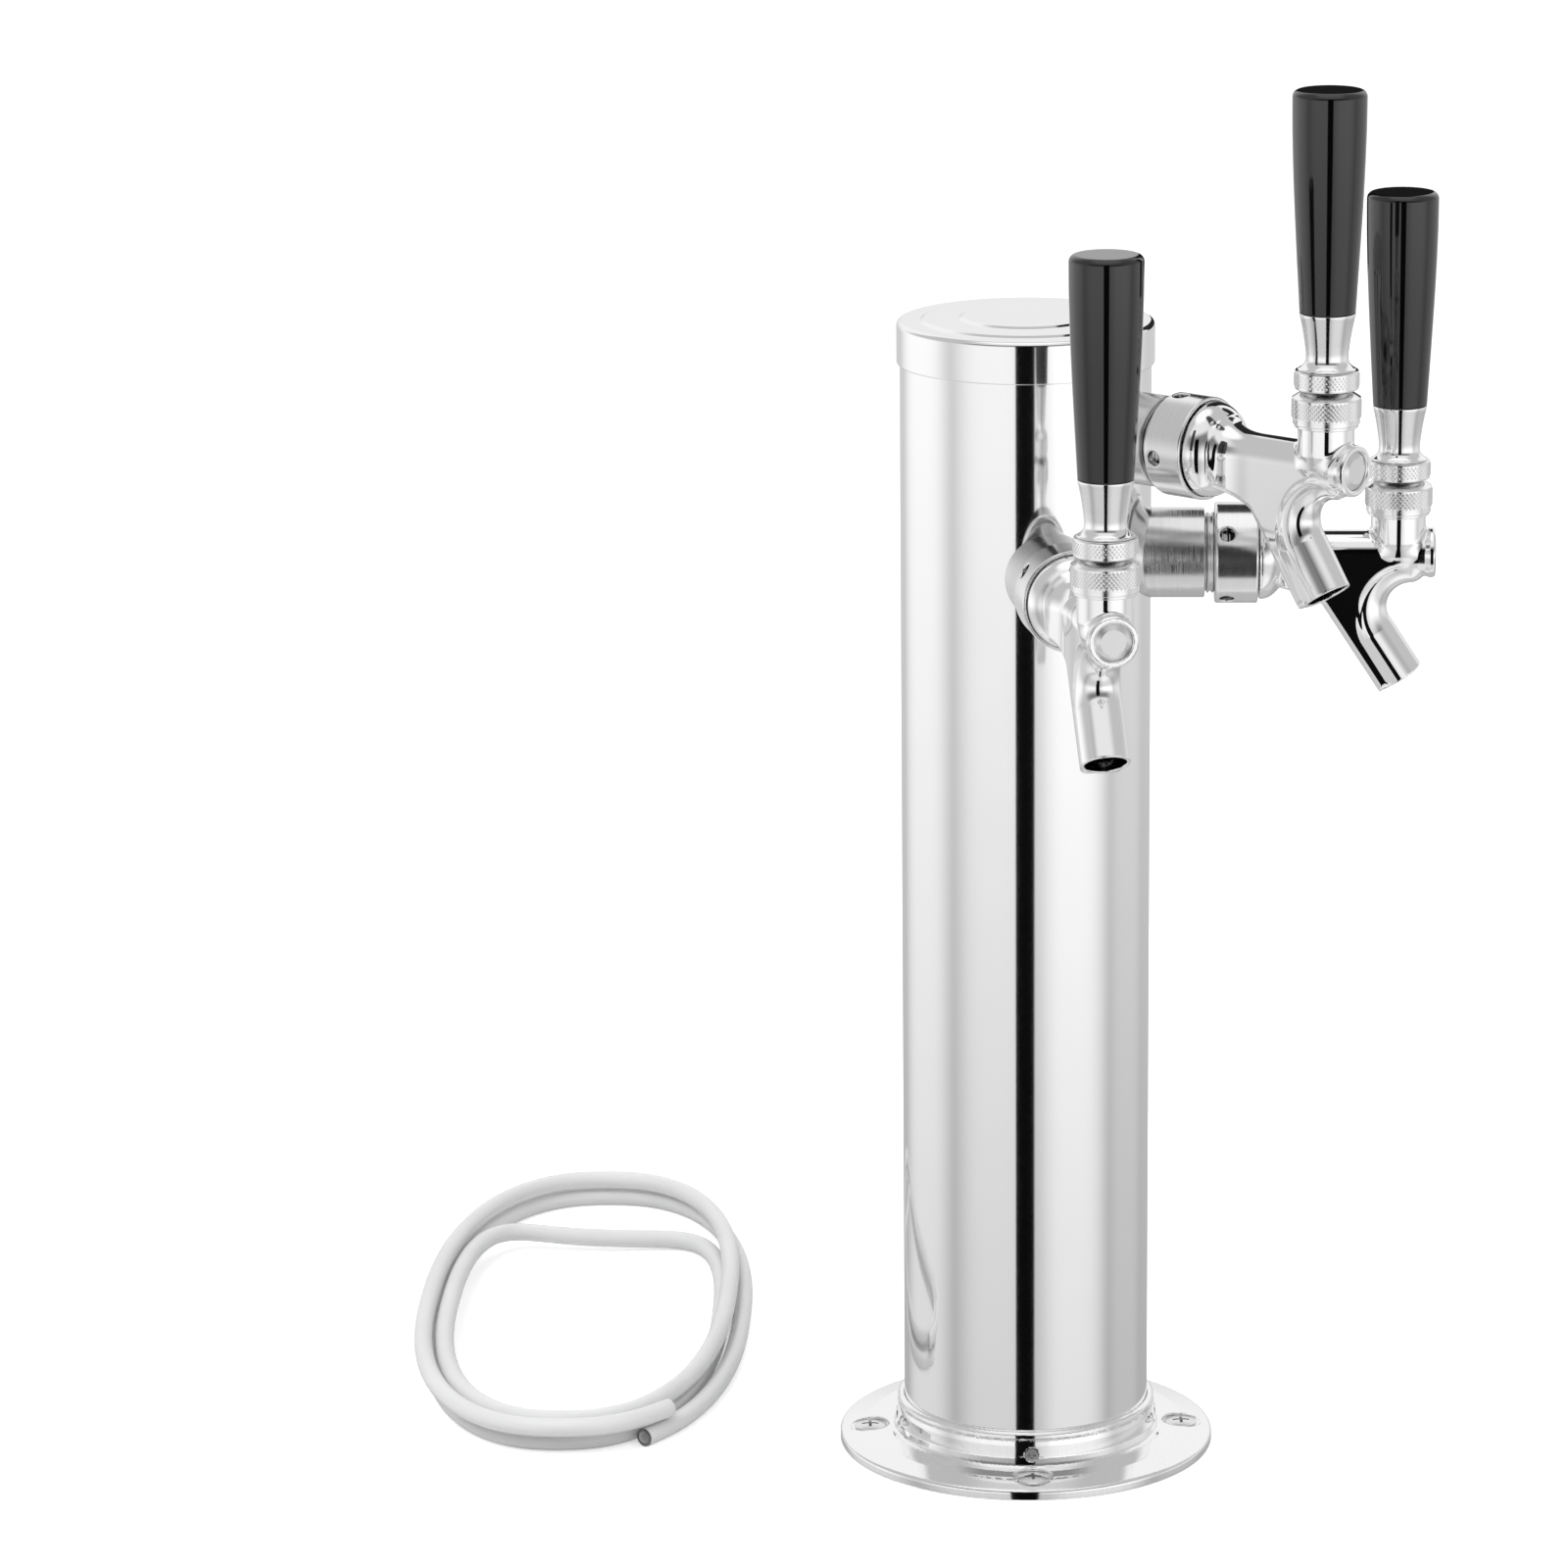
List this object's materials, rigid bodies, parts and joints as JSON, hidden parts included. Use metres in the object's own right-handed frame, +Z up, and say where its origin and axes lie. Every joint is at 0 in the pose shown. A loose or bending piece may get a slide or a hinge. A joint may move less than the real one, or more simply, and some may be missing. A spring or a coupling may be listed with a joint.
{
  "type": "beer tower dispenser",
  "caption": "Round steel column on a screwed flange, with lever taps set round its front and a loose coil of beer line.",
  "frame": {"origin": "centre of the opening in the base's underside, on the worktop", "axes": "+Z up along the column; the middle tap points along -Y"},
  "size_m": [0.2161, 0.3995, 0.4365],
  "materials": {
    "column_steel": "polished",
    "cap_steel": "polished",
    "base_steel": "polished, faint turning marks",
    "screw_steel": "bright zinc",
    "spacer_steel": "turned and polished",
    "thread_steel": "machined",
    "plain_steel": "machined",
    "faucet_chrome": "mirror chrome",
    "button_steel": "satin",
    "knurled_chrome": "diamond knurl, satin",
    "seal_rubber": "matte",
    "black_nylon": "matte",
    "black_handle": "gloss",
    "clear_hose": "translucent PVC"
  },
  "bodies": {
    "tower": {"column": "column_steel", "base_flange": "base_steel", "flange_screws": "screw_steel", "collar_screws": "screw_steel", "beer_line": "clear_hose", "left_spacer": "spacer_steel", "left_shank": "thread_steel", "left_clamp_washer": "plain_steel", "left_lock_nut": "plain_steel", "left_tail_nut": "plain_steel", "left_tail_elbow": "plain_steel", "left_coupling_nut": "faucet_chrome", "left_coupling_washer": "seal_rubber", "left_faucet_body": "faucet_chrome", "left_bonnet": "knurled_chrome", "left_ball_washer": "black_nylon", "centre_spacer": "spacer_steel", "centre_shank": "thread_steel", "centre_clamp_washer": "plain_steel", "centre_lock_nut": "plain_steel", "centre_tail_nut": "plain_steel", "centre_tail_elbow": "plain_steel", "centre_coupling_nut": "faucet_chrome", "centre_coupling_washer": "seal_rubber", "centre_faucet_body": "faucet_chrome", "centre_bonnet": "knurled_chrome", "centre_ball_washer": "black_nylon", "right_spacer": "spacer_steel", "right_shank": "thread_steel", "right_clamp_washer": "plain_steel", "right_lock_nut": "plain_steel", "right_tail_nut": "plain_steel", "right_tail_elbow": "plain_steel", "right_coupling_nut": "faucet_chrome", "right_coupling_washer": "seal_rubber", "right_faucet_body": "faucet_chrome", "right_bonnet": "knurled_chrome", "right_ball_washer": "black_nylon"},
    "cap": {"top_cap": "cap_steel"},
    "left_lever_body": {"left_lever": "thread_steel", "left_lever_collar": "knurled_chrome", "left_ferrule": "faucet_chrome", "left_handle": "black_handle"},
    "left_shaft_body": {"left_shaft": "button_steel", "left_seat_washer": "seal_rubber"},
    "centre_lever_body": {"centre_lever": "thread_steel", "centre_lever_collar": "knurled_chrome", "centre_ferrule": "faucet_chrome", "centre_handle": "black_handle"},
    "centre_shaft_body": {"centre_shaft": "button_steel", "centre_seat_washer": "seal_rubber"},
    "right_lever_body": {"right_lever": "thread_steel", "right_lever_collar": "knurled_chrome", "right_ferrule": "faucet_chrome", "right_handle": "black_handle"},
    "right_shaft_body": {"right_shaft": "button_steel", "right_seat_washer": "seal_rubber"}
  },
  "joints": [
    {"name": "left_lever_tilt", "type": "hinge", "parent": "tower", "child": "left_lever_body", "pos_m": [-0.07111, -0.08782, 0.3], "axis": [0.7771, -0.6293, 0], "range_deg": [0, 22]},
    {"name": "left_shaft_slide", "type": "slide", "parent": "tower", "child": "left_shaft_body", "axis": [0.6293, 0.7771, 0], "range_m": [0, 0.0057]},
    {"name": "centre_lever_tilt", "type": "hinge", "parent": "tower", "child": "centre_lever_body", "pos_m": [0, -0.113, 0.341], "axis": [1, 0, 0], "range_deg": [0, 22]},
    {"name": "centre_shaft_slide", "type": "slide", "parent": "tower", "child": "centre_shaft_body", "axis": [0, 1, 0], "range_m": [0, 0.0057]},
    {"name": "right_lever_tilt", "type": "hinge", "parent": "tower", "child": "right_lever_body", "pos_m": [0.07111, -0.08782, 0.3], "axis": [0.7771, 0.6293, 0], "range_deg": [0, 22]},
    {"name": "right_shaft_slide", "type": "slide", "parent": "tower", "child": "right_shaft_body", "axis": [-0.6293, 0.7771, 0], "range_m": [0, 0.0057]},
    {"name": "cap_lift", "type": "slide", "parent": "tower", "child": "cap", "axis": [0, 0, 1], "range_m": [0, 0.03]}
  ],
  "couplings": [
    {"joint": "left_shaft_slide", "follows": "left_lever_tilt", "m_per_rad": 0.0147},
    {"joint": "centre_shaft_slide", "follows": "centre_lever_tilt", "m_per_rad": 0.0147},
    {"joint": "right_shaft_slide", "follows": "right_lever_tilt", "m_per_rad": 0.0147}
  ]
}
